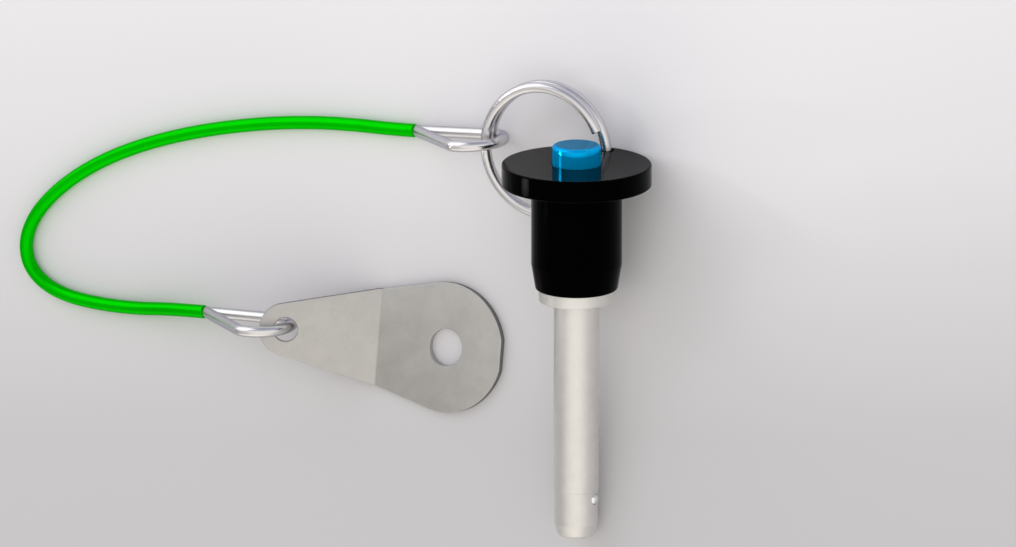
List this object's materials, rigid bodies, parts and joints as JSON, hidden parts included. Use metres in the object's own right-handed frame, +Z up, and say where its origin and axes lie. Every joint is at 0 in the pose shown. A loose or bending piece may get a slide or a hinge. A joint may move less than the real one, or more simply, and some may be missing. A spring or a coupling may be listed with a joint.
{
  "type": "quick release pin",
  "caption": "Ball-lock quick release pin with a push button in a flanged handle, a split ring and a coated cable lanyard that ends in a bent anchor tab, lying on its side",
  "frame": {"origin": "On the pin's axis, in the plane of the shoulder under the collar that stops against the work", "axes": "+Z points up from the floor the pin lies on and is the screw hole's axis, +Y points along the floor from the tip toward the handle, and +X points to the side away from the lanyard"},
  "size_m": [0.1676, 0.0999, 0.0333],
  "materials": {
    "black_anodised": "gloss black anodised aluminium",
    "turned_steel": "fine turned steel, satin",
    "blue_anodised": "gloss blue anodised aluminium",
    "spring_steel": "drawn spring wire",
    "polished_steel": "polished stainless steel",
    "green_jacket": "glossy green plastic jacket",
    "zinc_plate": "zinc plated steel, softly mottled"
  },
  "bodies": {
    "pin": {"handle": "black_anodised", "shank": "turned_steel", "return_spring": "spring_steel"},
    "button": {"button": "blue_anodised", "spindle": "turned_steel"},
    "ball_right": {"ball_right": "polished_steel"},
    "ball_left": {"ball_left": "polished_steel"},
    "ring": {"split_ring": "polished_steel"},
    "lanyard": {"ring_eye": "polished_steel", "lanyard_cable": "green_jacket", "tab_eye": "polished_steel"},
    "tab": {"anchor_tab": "zinc_plate"}
  },
  "joints": [
    {"name": "button_press", "type": "slide", "parent": "pin", "child": "button", "axis": [0, -0.9887, -0.1501], "range_m": [0, 0.003], "stiffness_N_per_m": 1500, "springref_m": -0.004, "deforming": ["return_spring"]},
    {"name": "ball_right_slide", "type": "slide", "parent": "pin", "child": "ball_right", "axis": [-1, 0, 0], "range_m": [0, 0.00061]},
    {"name": "ball_left_slide", "type": "slide", "parent": "pin", "child": "ball_left", "axis": [1, 0, 0], "range_m": [0, 0.00061]},
    {"name": "ring_swing", "type": "hinge", "parent": "pin", "child": "ring", "pos_m": [-0.0006, 0.03136, -0.009], "axis": [0, 0.9887, 0.1501], "range_deg": [-195, 4]},
    {"name": "lanyard_swing", "type": "hinge", "parent": "ring", "child": "lanyard", "pos_m": [-0.0291, 0.03118, -0.00834], "axis": [0, 0, 1], "range_deg": [-30, 10]},
    {"name": "tab_swing", "type": "hinge", "parent": "lanyard", "child": "tab", "pos_m": [-0.0743, -0.0165, -0.00124], "axis": [0, 0, 1], "range_deg": [-30, 30]}
  ],
  "couplings": [
    {"joint": "ball_right_slide", "follows": "button_press", "ratio": 0.2},
    {"joint": "ball_left_slide", "follows": "button_press", "ratio": 0.2}
  ]
}
